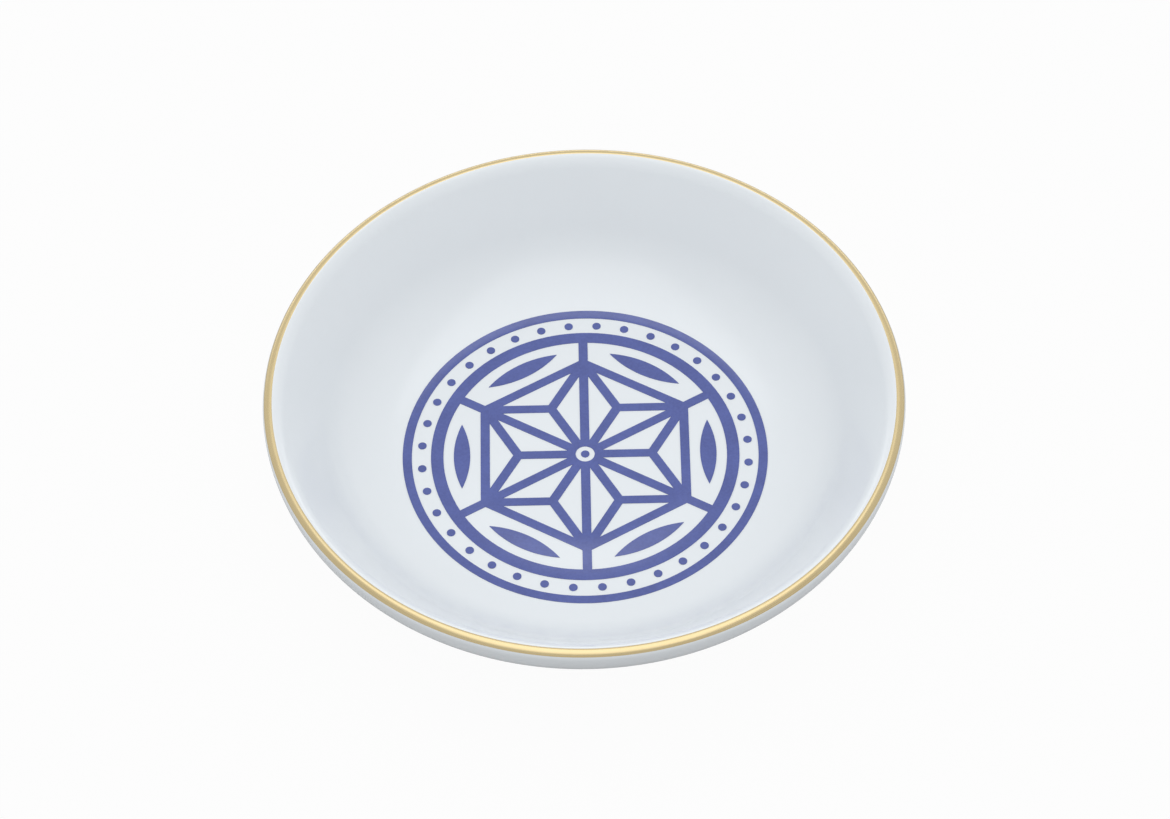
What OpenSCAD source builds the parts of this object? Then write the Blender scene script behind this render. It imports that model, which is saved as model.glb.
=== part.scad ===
// Small round porcelain dish for soy sauce: a shallow flared well on a low foot ring,
// glazed all over but for the standing edge, with a gold line on the lip and a blue
// printed medallion on the floor of the well.

/* [Dish] */
// Outside diameter over the lip
rim_d = 96; // [88:1:110]
// Depth of the well, from the top of the lip to the floor
well_depth = 15.8; // [12:0.1:19]
// Reach of the wall, from the edge of the flat floor out to the rim
flare = 22.4; // [21:0.1:26]
// Radius of the bend between the floor and the wall of the well
bend_r = 17; // [10:0.5:19]
// Radius of the long sweep of the wall's outside
sweep_r = 83.5; // [60:0.5:120]
// Thickness of the wall half way up, glaze included
wall_t = 3.7; // [2.8:0.1:4]
// Thickness of the floor, glaze included
floor_t = 3.3; // [2.6:0.1:4.4]
// Radius of the rounded lip
lip_r = 1.15; // [1:0.05:1.5]
// Radius of the brim, where the wall of the well turns out towards the lip
brim_r = 6; // [3:0.5:7]
// Slope of the brim where it passes into the round of the lip, in degrees
brim_slope = 35; // [25:1:45]
// Radius of the outer bend between the underside and the wall
heel_r = 13.7; // [8:0.1:16]

/* [Foot ring] */
// Height of the foot ring below the underside of the floor
foot_h = 1.8; // [1.6:0.1:3]
// Width of the foot ring
foot_w = 3.2; // [2.6:0.1:5]
// Distance from the outer bend in to the blend of the foot ring
foot_setback = 0.7; // [0.2:0.1:4]
// Radius of the hollow blend between the foot ring and the underside
foot_blend_r = 0.9; // [0.5:0.1:1]
// Height of the bare edge that the glaze leaves at the foot
bare_h = 0.6; // [0.5:0.05:0.8]
// Radius of the polished corners of the bare standing edge
bare_edge_r = 0.45; // [0.2:0.05:0.5]

/* [Glaze and gold] */
// Thickness of the glaze
glaze_t = 0.25; // [0.2:0.05:0.4]
// Thickness of the gold line, laid flush in the glaze
gold_t = 0.1; // [0.06:0.01:0.15]
// Width of the gold line, measured over the curve of the lip
gold_w = 1.4; // [1:0.05:1.7]
// Height of the gold line's lower edge above the widest part of the lip, over the curve
gold_edge = 0.65; // [0.2:0.05:0.8]

/* [Printed medallion] */
// Thickness of the printed colour
print_t = 0.08; // [0.05:0.01:0.12]
// Distance from the edge of the flat floor up the bend to the border line
border_gap = 0.75; // [0.3:0.05:3]
// Width of the border line
border_w = 1.4; // [0.6:0.05:2]
// Distance from the edge of the flat floor in to the beads
bead_inset = 0.1; // [0.05:0.05:3]
// Diameter of the beads
bead_d = 1.3; // [0.8:0.05:2]
// Number of beads in the ring
bead_count = 36; // [24:6:48]
// Bare gap between the beads and the inner ring
bead_gap = 0.75; // [0.4:0.05:1.5]
// Width of the inner ring
ring_w = 1.9; // [1:0.1:3]
// Bare gap between the inner ring and the corners of the hexagon
hexagon_gap = 3.2; // [2:0.1:5]
// Width of the lines of the hemp-leaf star
line_w = 1.4; // [0.8:0.05:2]
// Width of the leaves between the hexagon and the ring
leaf_w = 2.5; // [1.5:0.1:3]
// Bare gap between the tip of a leaf and the bar beside it
leaf_gap = 3.4; // [2:0.1:5]
// Diameter of the bare eye at the centre of the star
eye_d = 2.9; // [2:0.1:3.4]
// Diameter of the dot inside the eye
dot_d = 1.3; // [0.8:0.1:1.6]

/* [Hidden] */
$fn = 96;

// Colours of the bare body, the glaze, the gold and the print
bare_porcelain = "#F3F0EA";
white_glaze = "#E8ECEF";
bright_gold = "#D6B878";
cobalt_blue = "#5E68AB";

// Largest distance between a drawn curve and its straight steps
curve_sag = 0.006;
// Sides of the large circles of which a lens keeps a short arc
lens_fn = 480;
// Sides of the star, and the angle that turns a corner towards the front
sides = 6;
side_angle = 360 / sides;
star_turn = 90;

// Points on arcs: an arc leaves out its own last point, which the next run begins with
function polar(c, r, a) = c + r * [cos(a), sin(a)];
function bearing(from, to) = atan2(to.y - from.y, to.x - from.x);
function steps(r, a0, a1) = max(3, ceil(abs(a1 - a0) / (2 * acos(1 - curve_sag / r))));
function arc(c, r, a0, a1) =
    let (n = steps(r, a0, a1))
    [for (i = [0 : n - 1]) polar(c, r, a0 + (a1 - a0) * i / n)];
function reversed(points) = [for (i = [len(points) - 1 : -1 : 0]) points[i]];
function degrees(length, r) = length / r * 180 / PI;

// Levels above the table
under_z = foot_h;
floor_z = under_z + floor_t;
lip_z = floor_z + well_depth - lip_r;

// The section is a chain of tangent arcs, with one straight run: the wall of the well, from
// the bend to the brim. The arcs' centres are shared by the glazed surface and by the bare
// body under it, whose radii differ by the thickness of the glaze.
rim_r = rim_d / 2;
floor_r = rim_r - flare;
lip_c = [rim_r - lip_r, lip_z];
lip_a = brim_slope + 90;
brim_c = polar(lip_c, lip_r - brim_r, lip_a);
bend_c = [floor_r, floor_z + bend_r];
span = brim_c - bend_c;
wall_slope = asin((bend_r + brim_r) / norm(span)) + atan2(span.y, span.x);
wall_out = [sin(wall_slope), -cos(wall_slope)];
wall_mid = (bend_c + bend_r * wall_out + brim_c - brim_r * wall_out) / 2;
sweep_c = wall_mid + (wall_t - sweep_r) * wall_out;
reach = [rim_r, lip_z] - sweep_c;
shoulder_r = (sweep_r * sweep_r - reach * reach) / (2 * (sweep_r - reach.x));
shoulder_c = [rim_r - shoulder_r, lip_z];
heel_rise = sweep_c.y - under_z - heel_r;
heel_run = sqrt((sweep_r - heel_r) * (sweep_r - heel_r) - heel_rise * heel_rise);
heel_c = [sweep_c.x + heel_run, under_z + heel_r];

// Bearings at which one run passes into the next
bend_a = wall_slope - 90;
brim_a = wall_slope + 90;
heel_a = bearing(sweep_c, heel_c);
shoulder_a = bearing(sweep_c, shoulder_c);
gold_a0 = degrees(gold_edge, lip_r);
gold_a1 = gold_a0 + degrees(gold_w, lip_r);
border_a0 = degrees(border_gap, bend_r) - 90;
border_a1 = border_a0 + degrees(border_w, bend_r);

// Foot ring, placed inside the start of the outer bend
blend_r = min(foot_blend_r, foot_h - bare_h);
foot_out = heel_c.x - foot_setback - blend_r;
foot_in = foot_out - foot_w;

// Runs of the section at a depth d below the glazed surface
function outer_blend(d) = concat(
    arc([foot_out + blend_r, under_z - blend_r], blend_r + d, 180, 90),
    [[foot_out + blend_r, under_z + d]]
);
function inner_blend(d) = concat(
    arc([foot_in - blend_r, under_z - blend_r], blend_r + d, 90, 0),
    [[foot_in + d, under_z - blend_r]]
);
function wall_back(d) = concat(
    arc(heel_c, heel_r - d, -90, heel_a),
    arc(sweep_c, sweep_r - d, heel_a, shoulder_a),
    arc(shoulder_c, shoulder_r - d, shoulder_a, 0)
);
function lip_run(d, a0, a1) = arc(lip_c, lip_r - d, a0, a1);
function lip_point(d, a) = polar(lip_c, lip_r - d, a);
function border_run(d) = arc(bend_c, bend_r + d, border_a1, border_a0);
function border_foot(d) = polar(bend_c, bend_r + d, border_a0);
function well(d) = concat(
    arc(brim_c, brim_r - d, lip_a, brim_a),
    [polar(brim_c, brim_r - d, brim_a)],
    arc(bend_c, bend_r + d, bend_a, border_a1),
    border_run(d),
    arc(bend_c, bend_r + d, border_a0, -90),
    [[floor_r, floor_z - d], [0, floor_z - d]]
);
function outer_glaze_line(d) = concat(
    [[foot_out - d, bare_h]],
    outer_blend(d),
    wall_back(d)
);

// Bare standing edge of the body, polished round at both corners
bare_in = foot_in + glaze_t;
bare_out = foot_out - glaze_t;
standing_edge = concat(
    arc([bare_in + bare_edge_r, bare_edge_r], bare_edge_r, 180, 270),
    [[bare_in + bare_edge_r, 0]],
    arc([bare_out - bare_edge_r, bare_edge_r], bare_edge_r, 270, 360),
    [[bare_out, bare_edge_r]]
);

// Radii of the medallion, from the beads at the edge of the floor inwards
bead_ring_r = floor_r - bead_inset - bead_d / 2;
ring_r = bead_ring_r - bead_d / 2 - bead_gap;
ring_in_r = ring_r - ring_w;
hexagon_r = ring_in_r - hexagon_gap;
star_r = hexagon_r - line_w / 2 / cos(side_angle / 2);
leaf_ring_r = (hexagon_r * cos(side_angle / 2) + ring_in_r) / 2;
bar_reach = (line_w / 2 + leaf_gap) / cos(side_angle / 2);
leaf_l = 2 * (leaf_ring_r * tan(side_angle / 2) - bar_reach);

// Biscuit-fired body: the well, its wall and the foot ring in one turned section
module porcelain_body() {
    color(bare_porcelain)
    rotate_extrude()
    polygon(concat(
        [[0, under_z + glaze_t]],
        inner_blend(glaze_t),
        standing_edge,
        outer_blend(glaze_t),
        wall_back(glaze_t),
        lip_run(glaze_t, 0, lip_a),
        well(glaze_t)
    ));
}

// Clear glaze from the outside of the foot, over the lip and down into the well
module glaze_coat() {
    color(white_glaze)
    rotate_extrude()
    polygon(concat(
        outer_glaze_line(0),
        lip_run(0, 0, gold_a0),
        [lip_point(0, gold_a0)],
        lip_run(gold_t, gold_a0, gold_a1),
        [lip_point(gold_t, gold_a1)],
        lip_run(0, gold_a1, lip_a),
        well(0),
        reversed(concat(
            outer_glaze_line(glaze_t),
            lip_run(glaze_t, 0, lip_a),
            well(glaze_t)
        ))
    ));
}

// Island of glaze inside the foot ring
module base_glaze() {
    color(white_glaze)
    rotate_extrude()
    polygon(concat(
        [[0, under_z]],
        inner_blend(0),
        [[foot_in, bare_h], [foot_in + glaze_t, bare_h]],
        reversed(inner_blend(glaze_t)),
        [[0, under_z + glaze_t]]
    ));
}

// Gold line fired into the glaze on the crown of the lip
module gold_rim_line() {
    color(bright_gold)
    rotate_extrude()
    polygon(concat(
        lip_run(0, gold_a0, gold_a1),
        [lip_point(0, gold_a1)],
        reversed(concat(
            lip_run(gold_t, gold_a0, gold_a1),
            [lip_point(gold_t, gold_a1)]
        ))
    ));
}

// Printed colour of one thickness on the floor of the well, turned with a corner forwards
module printed() {
    color(cobalt_blue)
    translate([0, 0, floor_z])
    rotate(star_turn)
    linear_extrude(print_t)
    children();
}

module flat_ring(r, w) {
    difference() {
        circle(r);
        circle(r - w);
    }
}

// Lens between two equal arcs, lying along Y
module lens(l, w) {
    r = (l * l + w * w) / (4 * w);
    intersection() {
        translate([w / 2 - r, 0]) circle(r, $fn = lens_fn);
        translate([r - w / 2, 0]) circle(r, $fn = lens_fn);
    }
}

// Bare cell of the star: the triangle a, b, c drawn in by half a line on each side
module cell(a, b, c) {
    la = norm(b - c);
    lb = norm(c - a);
    lc = norm(a - b);
    middle = (la * a + lb * b + lc * c) / (la + lb + lc);
    in_r = abs(cross(b - a, c - a)) / (la + lb + lc);
    shrink = 1 - line_w / 2 / in_r;
    polygon([for (p = [a, b, c]) middle + (p - middle) * shrink]);
}

// Border line, which follows the start of the bend round the floor
module print_border_line() {
    color(cobalt_blue)
    rotate_extrude()
    polygon(concat(
        border_run(0),
        [border_foot(0)],
        reversed(concat(border_run(-print_t), [border_foot(-print_t)]))
    ));
}

module print_beads() {
    printed()
    for (i = [0 : bead_count - 1])
        rotate((i + 0.5) * 360 / bead_count)
        translate([bead_ring_r, 0])
        circle(d = bead_d);
}

// Hemp-leaf star: a hexagon of six triangles, each split again from its own middle,
// hung in the inner ring by a short bar at every corner
module print_hemp_leaf_star() {
    centre = [0, 0];
    corner = polar(centre, star_r, 0);
    next_corner = polar(centre, star_r, side_angle);
    middle = (corner + next_corner) / 3;
    printed()
    difference() {
        union() {
            flat_ring(ring_r, ring_w);
            circle(hexagon_r, $fn = sides);
            for (i = [0 : sides - 1])
                rotate(i * side_angle)
                translate([star_r, -line_w / 2])
                square([ring_r - ring_w / 2 - star_r, line_w]);
        }
        for (i = [0 : sides - 1])
            rotate(i * side_angle) {
                cell(centre, corner, middle);
                cell(corner, next_corner, middle);
                cell(next_corner, centre, middle);
            }
        circle(d = eye_d);
    }
}

module print_leaves() {
    printed()
    for (i = [0 : sides - 1])
        rotate((i + 0.5) * side_angle)
        translate([leaf_ring_r, 0])
        lens(leaf_l, leaf_w);
}

module print_centre_dot() {
    printed() circle(d = dot_d);
}

porcelain_body();
glaze_coat();
base_glaze();
gold_rim_line();
print_border_line();
print_beads();
print_hemp_leaf_star();
print_leaves();
print_centre_dot();
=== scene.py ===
import math

import bpy
from mathutils import Matrix, Vector


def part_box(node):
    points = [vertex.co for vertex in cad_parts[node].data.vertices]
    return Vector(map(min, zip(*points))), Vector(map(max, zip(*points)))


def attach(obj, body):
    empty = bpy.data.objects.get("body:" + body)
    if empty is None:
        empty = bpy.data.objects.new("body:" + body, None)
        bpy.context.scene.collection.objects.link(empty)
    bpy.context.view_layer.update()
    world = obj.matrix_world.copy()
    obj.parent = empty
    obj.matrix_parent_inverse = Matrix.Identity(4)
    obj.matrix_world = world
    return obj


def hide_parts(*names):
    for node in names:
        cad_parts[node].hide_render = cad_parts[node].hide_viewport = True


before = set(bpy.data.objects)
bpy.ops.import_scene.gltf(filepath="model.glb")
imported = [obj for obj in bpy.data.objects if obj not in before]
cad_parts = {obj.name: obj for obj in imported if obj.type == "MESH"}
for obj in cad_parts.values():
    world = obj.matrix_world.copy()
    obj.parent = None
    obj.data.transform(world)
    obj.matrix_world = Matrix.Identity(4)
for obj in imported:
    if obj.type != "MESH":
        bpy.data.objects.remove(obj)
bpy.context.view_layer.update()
bpy.ops.object.select_all(action="DESELECT")


# Porcelain body: the dish itself, jiggered from white kaolin clay and fired hard.
# The glaze hides it but for the standing edge of the foot, which was wiped bare before
# the firing and then polished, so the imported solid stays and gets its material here.
MM = 0.001
BARE_H = 0.6 * MM
CLAY_GRIT = 0.18 * MM
GRIT_H = 0.02 * MM
GRIT_STRENGTH = 0.25
KILN_BLUSH = 7 * MM
BLUSH_BAND = 0.3 * MM
BLUSH_SHARE = (0.1, 0.7)
BARE_ROUGHNESS = (0.58, 0.76)
PORCELAIN_IOR = 1.5


def colour(text):
    """Linear RGBA of an sRGB hex value."""
    shares = [int(text[i:i + 2], 16) / 255 for i in (1, 3, 5)]
    return [s / 12.92 if s <= 0.04045 else ((s + 0.055) / 1.055) ** 2.4 for s in shares] + [1]


def add_node(tree, kind, sockets=None, **settings):
    """Adds a node with its settings. A socket gets a value, or a link if it is given an output."""
    node = tree.nodes.new(kind)
    for name, value in settings.items():
        setattr(node, name, value)
    for name, value in (sockets or {}).items():
        if isinstance(value, bpy.types.NodeSocket):
            tree.links.new(value, node.inputs[name])
        else:
            node.inputs[name].default_value = value
    return node


def new_material(name):
    """An empty node material, its tree and the output of its object coordinates."""
    material = bpy.data.materials.new(name)
    material.use_nodes = True
    tree = material.node_tree
    tree.nodes.clear()
    place = add_node(tree, "ShaderNodeTexCoord").outputs["Object"]
    return material, tree, place


def finish_material(tree, shader):
    """Joins a shader to the output of its material."""
    add_node(tree, "ShaderNodeOutputMaterial", {"Surface": shader.outputs[0]})


# Unglazed porcelain is warm white and dry, and it blushes faintly tan in the kiln, most of
# all along the line where the glaze stops. Its grit is finer than a tenth of a millimetre,
# and is drawn coarser so that it shows.
unglazed_porcelain, tree, place = new_material("unglazed_porcelain")
height = add_node(tree, "ShaderNodeSeparateXYZ", {0: place}).outputs["Z"]
glaze_line = add_node(tree, "ShaderNodeMapRange", {
    "Value": height,
    "From Min": BARE_H - BLUSH_BAND,
    "From Max": BARE_H,
    "To Min": BLUSH_SHARE[0],
    "To Max": BLUSH_SHARE[1],
})
blush = add_node(tree, "ShaderNodeTexNoise", {
    "Vector": place,
    "Scale": 1 / KILN_BLUSH,
    "Detail": 3,
})
blush_share = add_node(tree, "ShaderNodeMath", {
    0: blush.outputs["Fac"],
    1: glaze_line.outputs["Result"],
}, operation="MULTIPLY")
clay = add_node(tree, "ShaderNodeMix", {
    0: blush_share.outputs[0],
    6: colour("#F0ECE4"),
    7: colour("#D8C3A6"),
}, data_type="RGBA")
grit = add_node(tree, "ShaderNodeTexNoise", {
    "Vector": place,
    "Scale": 1 / CLAY_GRIT,
    "Detail": 2,
})
dryness = add_node(tree, "ShaderNodeMapRange", {
    "Value": grit.outputs["Fac"],
    "To Min": BARE_ROUGHNESS[0],
    "To Max": BARE_ROUGHNESS[1],
})
grain = add_node(tree, "ShaderNodeBump", {
    "Height": grit.outputs["Fac"],
    "Strength": GRIT_STRENGTH,
    "Distance": GRIT_H,
})
finish_material(tree, add_node(tree, "ShaderNodeBsdfPrincipled", {
    "Base Color": clay.outputs[2],
    "Roughness": dryness.outputs["Result"],
    "IOR": PORCELAIN_IOR,
    "Normal": grain.outputs["Normal"],
}))
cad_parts["porcelain_body"].material_slots[0].material = unglazed_porcelain


# Glaze coat: clear feldspar glaze, fused to the white body in the firing. It runs from the
# outside of the foot over the lip and down into the well, and ends in a round bead above
# the bare standing edge. It is turned here as one smooth skin, like the dish on its wheel.
RIM_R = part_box("glaze_coat")[1].x
FLOOR_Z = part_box("print_centre_dot")[0].z
UNDER_Z = 1.8 * MM
WELL_DEPTH = 15.8 * MM
FLARE = 22.4 * MM
BEND_R = 17 * MM
SWEEP_R = 83.5 * MM
WALL_T = 3.7 * MM
LIP_R = 1.15 * MM
BRIM_R = 6 * MM
BRIM_SLOPE = 35
HEEL_R = 13.7 * MM
FOOT_W = 3.2 * MM
FOOT_SETBACK = 0.7 * MM
FOOT_BLEND_R = 0.9 * MM
GLAZE_T = 0.25 * MM
GOLD_T = 0.1 * MM
GOLD_W = 1.4 * MM
GOLD_EDGE = 0.65 * MM
TURNS = 288
SHOWN_STEP = 0.4 * MM
LIP_STEP = 0.14 * MM
HIDDEN_STEP = 1.2 * MM
FLOOR_STEP = 3.2 * MM
CREASE = math.radians(40)
WELD = 0.002 * MM


def polar(centre, radius, angle):
    """Point of the section at an angle round a centre, in degrees."""
    turn = math.radians(angle)
    return Vector((centre[0] + radius * math.cos(turn), centre[1] + radius * math.sin(turn)))


def bearing(start, end):
    """Angle at which one point is seen from another, in degrees."""
    return math.degrees(math.atan2(end[1] - start[1], end[0] - start[0]))


def arc(centre, radius, start, end, step):
    """Points along an arc without its last one, which the next run begins with."""
    count = max(3, math.ceil(radius * abs(math.radians(end - start)) / step))
    return [polar(centre, radius, start + (end - start) * i / count) for i in range(count)]


def run(start, end, step):
    """Points along a straight run without its last one."""
    count = math.ceil((end - start).length / step)
    return [start.lerp(end, i / count) for i in range(count)]


def turned(name, section, closed):
    """Draws a section point by point, as by extruding a vertex, and spins it about the axis."""
    bpy.ops.object.select_all(action="DESELECT")
    bpy.ops.mesh.primitive_plane_add(size=MM, enter_editmode=True)
    bpy.ops.mesh.merge(type="CENTER")
    bpy.ops.transform.translate(value=(section[0].x, 0, section[0].y))
    path = section + section[:1] if closed else section
    for here, there in zip(path, path[1:]):
        stretch = (there.x - here.x, 0, there.y - here.y)
        bpy.ops.mesh.extrude_region_move(TRANSFORM_OT_translate={"value": stretch})
    bpy.ops.mesh.select_all(action="SELECT")
    bpy.ops.mesh.spin(steps=TURNS, angle=math.tau, center=(0, 0, 0), axis=(0, 0, 1))
    bpy.ops.mesh.select_all(action="SELECT")
    bpy.ops.mesh.remove_doubles(threshold=WELD)
    bpy.ops.mesh.normals_make_consistent(inside=False)
    bpy.ops.object.mode_set(mode="OBJECT")
    bpy.ops.object.shade_smooth_by_angle(angle=CREASE)
    piece = bpy.context.active_object
    piece.name = piece.data.name = name
    return piece


lip_z = FLOOR_Z + WELL_DEPTH - LIP_R
floor_r = RIM_R - FLARE
lip_c = Vector((RIM_R - LIP_R, lip_z))
lip_a = BRIM_SLOPE + 90
brim_c = polar(lip_c, LIP_R - BRIM_R, lip_a)
bend_c = Vector((floor_r, FLOOR_Z + BEND_R))
span = brim_c - bend_c
slope = math.asin((BEND_R + BRIM_R) / span.length) + math.atan2(span.y, span.x)
wall_out = Vector((math.sin(slope), -math.cos(slope)))
wall_mid = (bend_c + BEND_R * wall_out + brim_c - BRIM_R * wall_out) / 2
sweep_c = wall_mid + (WALL_T - SWEEP_R) * wall_out
reach = Vector((RIM_R, lip_z)) - sweep_c
shoulder_r = (SWEEP_R ** 2 - reach.length_squared) / (2 * (SWEEP_R - reach.x))
shoulder_c = Vector((RIM_R - shoulder_r, lip_z))
heel_rise = sweep_c.y - UNDER_Z - HEEL_R
heel_run = math.sqrt((SWEEP_R - HEEL_R) ** 2 - heel_rise ** 2)
heel_c = Vector((sweep_c.x + heel_run, UNDER_Z + HEEL_R))
foot_out = heel_c.x - FOOT_SETBACK - FOOT_BLEND_R
foot_in = foot_out - FOOT_W
bend_a = math.degrees(slope) - 90
brim_a = math.degrees(slope) + 90
gold_start = math.degrees(GOLD_EDGE / LIP_R)
gold_end = gold_start + math.degrees(GOLD_W / LIP_R)
heel_a = bearing(sweep_c, heel_c)
shoulder_a = bearing(sweep_c, shoulder_c)
bead_r = GLAZE_T / 2


def outside(depth, step):
    """Run from the foot to the lip, at a depth below the glazed surface."""
    blend_c = Vector((foot_out + FOOT_BLEND_R, UNDER_Z - FOOT_BLEND_R))
    return (
        [Vector((foot_out - depth, BARE_H + bead_r))]
        + arc(blend_c, FOOT_BLEND_R + depth, 180, 90, step)
        + arc(heel_c, HEEL_R - depth, -90, heel_a, step)
        + arc(sweep_c, SWEEP_R - depth, heel_a, shoulder_a, step)
        + arc(shoulder_c, shoulder_r - depth, shoulder_a, 0, step)
    )


def lip(depth, start, end, step):
    """Run over part of the lip, with its last point."""
    return arc(lip_c, LIP_R - depth, start, end, step) + [polar(lip_c, LIP_R - depth, end)]


def inside(depth, step):
    """Run from the lip down the well to the axis, at a depth below the glazed surface."""
    brim_foot = polar(brim_c, BRIM_R - depth, brim_a)
    wall_foot = polar(bend_c, BEND_R + depth, bend_a)
    rings = math.ceil(floor_r / FLOOR_STEP)
    return (
        arc(brim_c, BRIM_R - depth, lip_a, brim_a, LIP_STEP)[1:]
        + run(brim_foot, wall_foot, step)
        + arc(bend_c, BEND_R + depth, bend_a, -90, step)
        + [Vector((floor_r * i / rings, FLOOR_Z - depth)) for i in range(rings, -1, -1)]
    )


shown_skin = (
    outside(0, SHOWN_STEP)
    + lip(0, 0, gold_start, LIP_STEP)
    + lip(GOLD_T, gold_start, gold_end, LIP_STEP)
    + lip(0, gold_end, lip_a, LIP_STEP)
    + inside(0, SHOWN_STEP)
)
fused_side = (
    outside(GLAZE_T, HIDDEN_STEP)
    + lip(GLAZE_T, 0, lip_a, LIP_STEP)
    + inside(GLAZE_T, HIDDEN_STEP)
)
bead = arc((foot_out - bead_r, BARE_H + bead_r), bead_r, 180, 360, LIP_STEP / 4)
glaze_skin = turned("glaze_skin", fused_side[::-1] + bead[1:] + shown_skin, False)

# Porcelain glaze is a cool white that lies glassy smooth. The floor under it isn't dead
# flat: it stands a hair higher in the middle, and a long faint swell runs all over it,
# so that reflections bend a little. It greys very slightly where it ran thicker.
DOME_EDGE = 23 * MM
DOME_TOP = 15 * MM
DOME_H = 0.17 * MM
SWELL = 9 * MM
SWELL_H = 0.012 * MM
TINT_PATCH = 26 * MM
GLAZE_ROUGHNESS = (0.13, 0.19)
GLAZE_IOR = 1.5


def surface_swell(tree, place):
    """Bump of the glazed surface: the low dome of the floor and the swell of the glaze."""
    flat_place = add_node(tree, "ShaderNodeVectorMath", {
        0: place,
        1: (1, 1, 0),
    }, operation="MULTIPLY")
    from_axis = add_node(tree, "ShaderNodeVectorMath", {
        0: flat_place.outputs["Vector"],
    }, operation="LENGTH")
    dome = add_node(tree, "ShaderNodeMapRange", {
        "Value": from_axis.outputs["Value"],
        "From Min": DOME_TOP,
        "From Max": DOME_EDGE,
        "To Min": DOME_H,
        "To Max": 0,
    }, interpolation_type="SMOOTHSTEP")
    swell = add_node(tree, "ShaderNodeTexNoise", {
        "Vector": place,
        "Scale": 1 / SWELL,
        "Detail": 1,
    })
    level = add_node(tree, "ShaderNodeMath", {
        0: swell.outputs["Fac"],
        1: SWELL_H,
        2: dome.outputs["Result"],
    }, operation="MULTIPLY_ADD")
    return add_node(tree, "ShaderNodeBump", {
        "Height": level.outputs[0],
        "Strength": 1,
        "Distance": 1,
    }).outputs["Normal"]


porcelain_glaze, tree, place = new_material("porcelain_glaze")
patches = add_node(tree, "ShaderNodeTexNoise", {
    "Vector": place,
    "Scale": 1 / TINT_PATCH,
    "Detail": 2,
})
white = add_node(tree, "ShaderNodeMix", {
    0: patches.outputs["Fac"],
    6: colour("#DFE4E8"),
    7: colour("#DBE0E4"),
}, data_type="RGBA")
gloss = add_node(tree, "ShaderNodeMapRange", {
    "Value": patches.outputs["Fac"],
    "To Min": GLAZE_ROUGHNESS[0],
    "To Max": GLAZE_ROUGHNESS[1],
})
finish_material(tree, add_node(tree, "ShaderNodeBsdfPrincipled", {
    "Base Color": white.outputs[2],
    "Roughness": gloss.outputs["Result"],
    "IOR": GLAZE_IOR,
    "Normal": surface_swell(tree, place),
}))
glaze_skin.data.materials.append(porcelain_glaze)
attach(glaze_skin, "root")
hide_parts("glaze_coat")


# Base glaze: the island of the same glaze inside the foot ring, cut off from the rest by
# the bare standing edge. It is dipped with the dish and ends in the same round bead.
def underside(depth, step):
    """Run from the axis out to the inside of the foot ring, at a depth below the surface."""
    blend_c = Vector((foot_in - FOOT_BLEND_R, UNDER_Z - FOOT_BLEND_R))
    rings = math.ceil(blend_c.x / FLOOR_STEP)
    return (
        [Vector((blend_c.x * i / rings, UNDER_Z + depth)) for i in range(rings)]
        + arc(blend_c, FOOT_BLEND_R + depth, 90, 0, step)
        + [Vector((foot_in + depth, BARE_H + bead_r))]
    )


base_bead = arc((foot_in + bead_r, BARE_H + bead_r), bead_r, 180, 360, LIP_STEP / 4)
base_section = underside(0, LIP_STEP) + base_bead[1:] + underside(GLAZE_T, LIP_STEP)[::-1]
base_skin = turned("base_skin", base_section, False)
base_skin.data.materials.append(porcelain_glaze)
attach(base_skin, "root")
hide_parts("base_glaze")


# Gold line: liquid bright gold, laid on the crown of the lip with a brush while the dish
# turned, and fired once more. It is a film without thickness to the eye, so it lies flush
# in a shallow recess of the glaze.
gold_face = lip(0, gold_start, gold_end, LIP_STEP / 2)
gold_back = lip(GOLD_T, gold_end, gold_start, LIP_STEP)
gold_line = turned("gold_line", gold_face + gold_back, True)

# Bright gold is polished metal as it comes from the kiln. The brush leaves fine streaks
# round the lip, which part its shine a little, and the film is thinner in places.
STREAK_L = 9 * MM
STREAK_W = 0.16 * MM
STREAK_H = 0.006 * MM
STREAK_STRENGTH = 0.3
THIN_PATCH = 5 * MM
GOLD_ROUGHNESS = (0.2, 0.32)
bright_gold, tree, place = new_material("bright_gold")
around = add_node(tree, "ShaderNodeVectorMath", {0: place, 1: (1, 1, 0)}, operation="MULTIPLY")
out_way = add_node(tree, "ShaderNodeVectorMath", {0: around.outputs["Vector"]}, operation="LENGTH")
unit = add_node(tree, "ShaderNodeVectorMath", {0: around.outputs["Vector"]}, operation="NORMALIZE")
along = add_node(tree, "ShaderNodeVectorMath", {
    0: unit.outputs["Vector"],
    "Scale": RIM_R / STREAK_L,
}, operation="SCALE")
rise = add_node(tree, "ShaderNodeSeparateXYZ", {0: place}).outputs["Z"]
over_lip = add_node(tree, "ShaderNodeMath", {
    0: rise,
    1: out_way.outputs["Value"],
}, operation="SUBTRACT")
across = add_node(tree, "ShaderNodeMath", {
    0: over_lip.outputs[0],
    1: 1 / STREAK_W,
}, operation="MULTIPLY")
brush_way = add_node(tree, "ShaderNodeCombineXYZ", {"Z": across.outputs[0]})
brush_place = add_node(tree, "ShaderNodeVectorMath", {
    0: along.outputs["Vector"],
    1: brush_way.outputs["Vector"],
}, operation="ADD")
streaks = add_node(tree, "ShaderNodeTexNoise", {
    "Vector": brush_place.outputs["Vector"],
    "Scale": 1,
    "Detail": 3,
})
thin = add_node(tree, "ShaderNodeTexNoise", {
    "Vector": place,
    "Scale": 1 / THIN_PATCH,
    "Detail": 2,
})
streak_share = add_node(tree, "ShaderNodeMath", {
    0: streaks.outputs["Fac"],
    1: thin.outputs["Fac"],
}, operation="MULTIPLY")
gold_tone = add_node(tree, "ShaderNodeMix", {
    0: streak_share.outputs[0],
    6: colour("#D0BF95"),
    7: colour("#C4AF83"),
}, data_type="RGBA")
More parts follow.
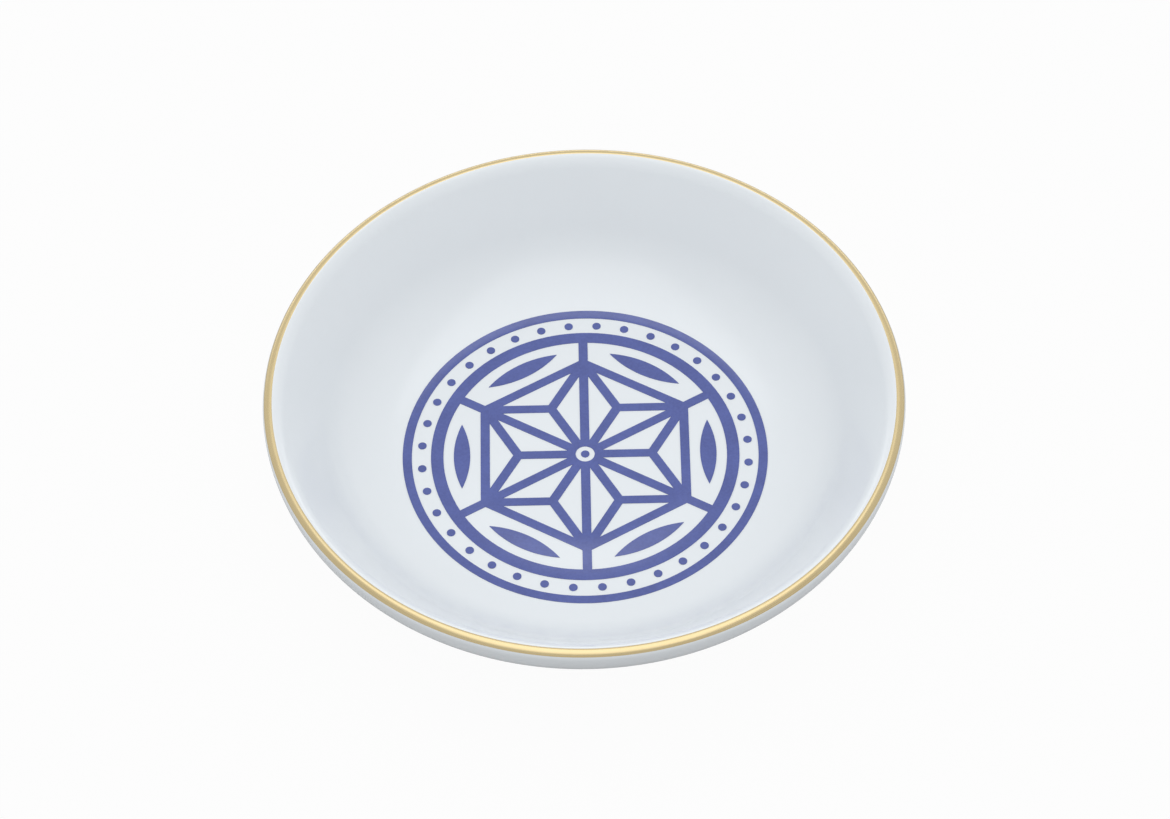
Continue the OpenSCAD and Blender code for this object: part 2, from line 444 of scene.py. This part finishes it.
shine = add_node(tree, "ShaderNodeMapRange", {
    "Value": streaks.outputs["Fac"],
    "To Min": GOLD_ROUGHNESS[0],
    "To Max": GOLD_ROUGHNESS[1],
})
brush_marks = add_node(tree, "ShaderNodeBump", {
    "Height": streaks.outputs["Fac"],
    "Strength": STREAK_STRENGTH,
    "Distance": STREAK_H,
})
finish_material(tree, add_node(tree, "ShaderNodeBsdfPrincipled", {
    "Base Color": gold_tone.outputs[2],
    "Metallic": 1,
    "Roughness": shine.outputs["Result"],
    "Normal": brush_marks.outputs["Normal"],
}))
gold_line.data.materials.append(bright_gold)
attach(gold_line, "root")
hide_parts("gold_rim_line")


# Border line of the medallion: a printed ring of cobalt blue that lies just beyond the flat
# floor, on the start of the bend, and is fused into the glaze.
BORDER_GAP = 0.75 * MM
BORDER_W = 1.4 * MM
PRINT_T = 0.08 * MM
border_start = math.degrees(BORDER_GAP / BEND_R) - 90
border_end = border_start + math.degrees(BORDER_W / BEND_R)
border_face = arc(bend_c, BEND_R - PRINT_T, border_start, border_end, LIP_STEP)
border_face.append(polar(bend_c, BEND_R - PRINT_T, border_end))
border_back = arc(bend_c, BEND_R, border_end, border_start, LIP_STEP)
border_back.append(polar(bend_c, BEND_R, border_start))
border_line = turned("border_line", border_face + border_back, True)

# Fired cobalt print is a violet blue under a glassy skin, a little heavier in some places
# than in others. The screen leaves it mottled at about a tenth of a millimetre, which is
# drawn coarser so that it shows.
SCREEN_GRAIN = 0.42 * MM
INK_PATCH = 4.5 * MM
MOTTLE_SPAN = (0.7, 1.3)
PRINT_ROUGHNESS = (0.06, 0.13)
PRINT_IOR = 1.6
cobalt_print, tree, place = new_material("cobalt_print")
screen = add_node(tree, "ShaderNodeTexNoise", {
    "Vector": place,
    "Scale": 1 / SCREEN_GRAIN,
    "Detail": 2,
})
ink = add_node(tree, "ShaderNodeTexNoise", {
    "Vector": place,
    "Scale": 1 / INK_PATCH,
    "Detail": 2,
})
mottle = add_node(tree, "ShaderNodeMath", {
    0: screen.outputs["Fac"],
    1: ink.outputs["Fac"],
}, operation="ADD")
ink_share = add_node(tree, "ShaderNodeMapRange", {
    "Value": mottle.outputs[0],
    "From Min": MOTTLE_SPAN[0],
    "From Max": MOTTLE_SPAN[1],
})
blue = add_node(tree, "ShaderNodeMix", {
    0: ink_share.outputs["Result"],
    6: colour("#4C5A9E"),
    7: colour("#424F90"),
}, data_type="RGBA")
print_gloss = add_node(tree, "ShaderNodeMapRange", {
    "Value": screen.outputs["Fac"],
    "To Min": PRINT_ROUGHNESS[0],
    "To Max": PRINT_ROUGHNESS[1],
})
finish_material(tree, add_node(tree, "ShaderNodeBsdfPrincipled", {
    "Base Color": blue.outputs[2],
    "Roughness": print_gloss.outputs["Result"],
    "IOR": PRINT_IOR,
    "Normal": surface_swell(tree, place),
}))
border_line.data.materials.append(cobalt_print)
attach(border_line, "root")
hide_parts("print_border_line")


# Beads, hemp-leaf star, leaves and centre dot: the flat part of the same transfer print.
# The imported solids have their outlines, so they stay and get the print's material.
for node in ("print_beads", "print_hemp_leaf_star", "print_leaves", "print_centre_dot"):
    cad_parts[node].material_slots[0].material = cobalt_print


# Table: a plain pale sheet that the dish stands on. To the eye it is near white and keeps a
# trace of the shadow of the dish. The glaze and the gold mirror it less bright, with the
# full shadow that lies under the overhanging rim, and it lights them as a greyer sheet.
TABLE_D = 6.0
TABLE_SIDES = 96
PAPER_SPECK = 2 * MM
SHEET_GLOW = 0.96
bpy.ops.object.select_all(action="DESELECT")
bpy.ops.mesh.primitive_circle_add(vertices=TABLE_SIDES, radius=TABLE_D / 2, fill_type="NGON")
table = bpy.context.active_object
table.name = table.data.name = "table"
white_sheet, tree, place = new_material("white_sheet")
speck = add_node(tree, "ShaderNodeTexNoise", {"Vector": place, "Scale": 1 / PAPER_SPECK})
paper = add_node(tree, "ShaderNodeMix", {
    0: speck.outputs["Fac"],
    6: colour("#BABABA"),
    7: colour("#B6B6B6"),
}, data_type="RGBA")
ray = add_node(tree, "ShaderNodeLightPath").outputs
mirrored = add_node(tree, "ShaderNodeMath", {
    0: ray["Is Glossy Ray"],
    1: ray["Is Transmission Ray"],
}, operation="MAXIMUM")
sheet_tone = add_node(tree, "ShaderNodeMix", {
    0: mirrored.outputs[0],
    6: paper.outputs[2],
    7: colour("#DEDEDE"),
}, data_type="RGBA")
lit_sheet = add_node(tree, "ShaderNodeBsdfDiffuse", {"Color": sheet_tone.outputs[2]})
glow = add_node(tree, "ShaderNodeEmission", {"Color": colour("#FFFFFF"), "Strength": 1})
glow_share = add_node(tree, "ShaderNodeMath", {
    0: ray["Is Camera Ray"],
    1: SHEET_GLOW,
}, operation="MULTIPLY")
finish_material(tree, add_node(tree, "ShaderNodeMixShader", {
    0: glow_share.outputs[0],
    1: lit_sheet.outputs[0],
    2: glow.outputs[0],
}))
table.data.materials.append(white_sheet)


# Light: one large soft box overhead in a pale room. The box fades out along its left and
# near sides, as its cloth does, and ends more sharply along the others. Behind the dish
# stands a lit backdrop, brightest at its foot, which the near lip mirrors.
BOX_HEIGHT = 1.0
BOX_LEFT = -0.60
BOX_RIGHT = 0.52
BOX_NEAR = -0.95
BOX_FAR = 0.70
BOX_RADIANCE = 1.0
FADE_LEFT = 0.35
FADE_RIGHT = 0.12
FADE_NEAR = 0.70
FADE_FAR = 0.12
ROOM_FRONT = 0.805
ROOM_BACK = 0.92
ROOM_SPAN = (-0.35, 0.75)
BACKDROP = 2.8
BACKDROP_SPAN = (0.55, 0.95)
BACKDROP_FALL = 11
box_w = BOX_RIGHT - BOX_LEFT
box_l = BOX_FAR - BOX_NEAR
bpy.ops.object.light_add(
    type="AREA",
    location=((BOX_LEFT + BOX_RIGHT) / 2, (BOX_NEAR + BOX_FAR) / 2, BOX_HEIGHT),
)
soft_box = bpy.context.active_object
soft_box.name = soft_box.data.name = "soft_box"
soft_box.data.shape = "RECTANGLE"
soft_box.data.size = box_w
soft_box.data.size_y = box_l
soft_box.data.energy = BOX_RADIANCE * math.pi * box_w * box_l
soft_box.data.use_nodes = True
tree = soft_box.data.node_tree
tree.nodes.clear()
on_cloth = add_node(tree, "ShaderNodeNewGeometry").outputs["Parametric"]
spot = add_node(tree, "ShaderNodeSeparateXYZ", {0: on_cloth}).outputs
fades = [add_node(tree, "ShaderNodeMapRange", {
    "Value": spot[axis],
    "From Min": start,
    "From Max": end,
}, interpolation_type="SMOOTHSTEP").outputs["Result"] for axis, start, end in (
    ("X", 0, FADE_LEFT / box_w),
    ("X", 1, 1 - FADE_RIGHT / box_w),
    ("Y", 0, FADE_NEAR / box_l),
    ("Y", 1, 1 - FADE_FAR / box_l),
)]
share = fades[0]
for fade in fades[1:]:
    share = add_node(tree, "ShaderNodeMath", {0: share, 1: fade}, operation="MULTIPLY").outputs[0]
cloth = add_node(tree, "ShaderNodeEmission", {"Color": colour("#FFFFFF"), "Strength": share})
add_node(tree, "ShaderNodeOutputLight", {"Surface": cloth.outputs[0]})

room = bpy.data.worlds.new("pale_room")
bpy.context.scene.world = room
room.use_nodes = True
tree = room.node_tree
tree.nodes.clear()
look = add_node(tree, "ShaderNodeTexCoord").outputs["Generated"]
way = add_node(tree, "ShaderNodeSeparateXYZ", {0: look}).outputs
walls = add_node(tree, "ShaderNodeMapRange", {
    "Value": way["Y"],
    "From Min": ROOM_SPAN[0],
    "From Max": ROOM_SPAN[1],
    "To Min": ROOM_FRONT,
    "To Max": ROOM_BACK,
}, interpolation_type="SMOOTHSTEP")
backdrop = add_node(tree, "ShaderNodeMapRange", {
    "Value": way["Y"],
    "From Min": BACKDROP_SPAN[0],
    "From Max": BACKDROP_SPAN[1],
    "To Min": 0,
    "To Max": BACKDROP,
}, interpolation_type="SMOOTHSTEP")
off_horizon = add_node(tree, "ShaderNodeMath", {0: way["Z"]}, operation="ABSOLUTE")
near_horizon = add_node(tree, "ShaderNodeMath", {
    0: 1,
    1: off_horizon.outputs[0],
}, operation="SUBTRACT")
fall = add_node(tree, "ShaderNodeMath", {
    0: near_horizon.outputs[0],
    1: BACKDROP_FALL,
}, operation="POWER")
room_light = add_node(tree, "ShaderNodeMath", {
    0: backdrop.outputs["Result"],
    1: fall.outputs[0],
    2: walls.outputs["Result"],
}, operation="MULTIPLY_ADD")
sky = add_node(tree, "ShaderNodeBackground", {
    "Color": colour("#FFFFFF"),
    "Strength": room_light.outputs[0],
})
add_node(tree, "ShaderNodeOutputWorld", {"Surface": sky.outputs[0]})
bpy.context.scene.view_settings.view_transform = "Standard"


# Camera: a long lens from the photograph's height, aimed at the middle of the rim, with
# the photograph's slight roll and framing.
PHOTO_W = 1170
PHOTO_H = 819
FOCAL_PX = 4550
RIM_PX = (584.0, 395.3)
CAMERA_AWAY = 680 * MM
ELEVATION = math.radians(52.38)
ROLL = math.radians(1.17)
SENSOR = 36
CLIP_NEAR = 0.01
CLIP_FAR = 20
aim = Vector((0, 0, lip_z))
back = Vector((0, -math.cos(ELEVATION), math.sin(ELEVATION)))
level_right = Vector((1, 0, 0))
level_up = back.cross(level_right)
right = math.cos(ROLL) * level_right - math.sin(ROLL) * level_up
up = math.sin(ROLL) * level_right + math.cos(ROLL) * level_up
turn = Matrix((right, up, back)).transposed().to_euler()
bpy.ops.object.camera_add(location=aim + CAMERA_AWAY * back, rotation=turn)
camera = bpy.context.active_object
camera.name = camera.data.name = "photo_camera"
camera.data.sensor_width = SENSOR
camera.data.lens = FOCAL_PX / PHOTO_W * SENSOR
camera.data.shift_x = (PHOTO_W / 2 - RIM_PX[0]) / PHOTO_W
camera.data.shift_y = (RIM_PX[1] - PHOTO_H / 2) / PHOTO_W
camera.data.clip_start = CLIP_NEAR
camera.data.clip_end = CLIP_FAR
bpy.context.scene.camera = camera
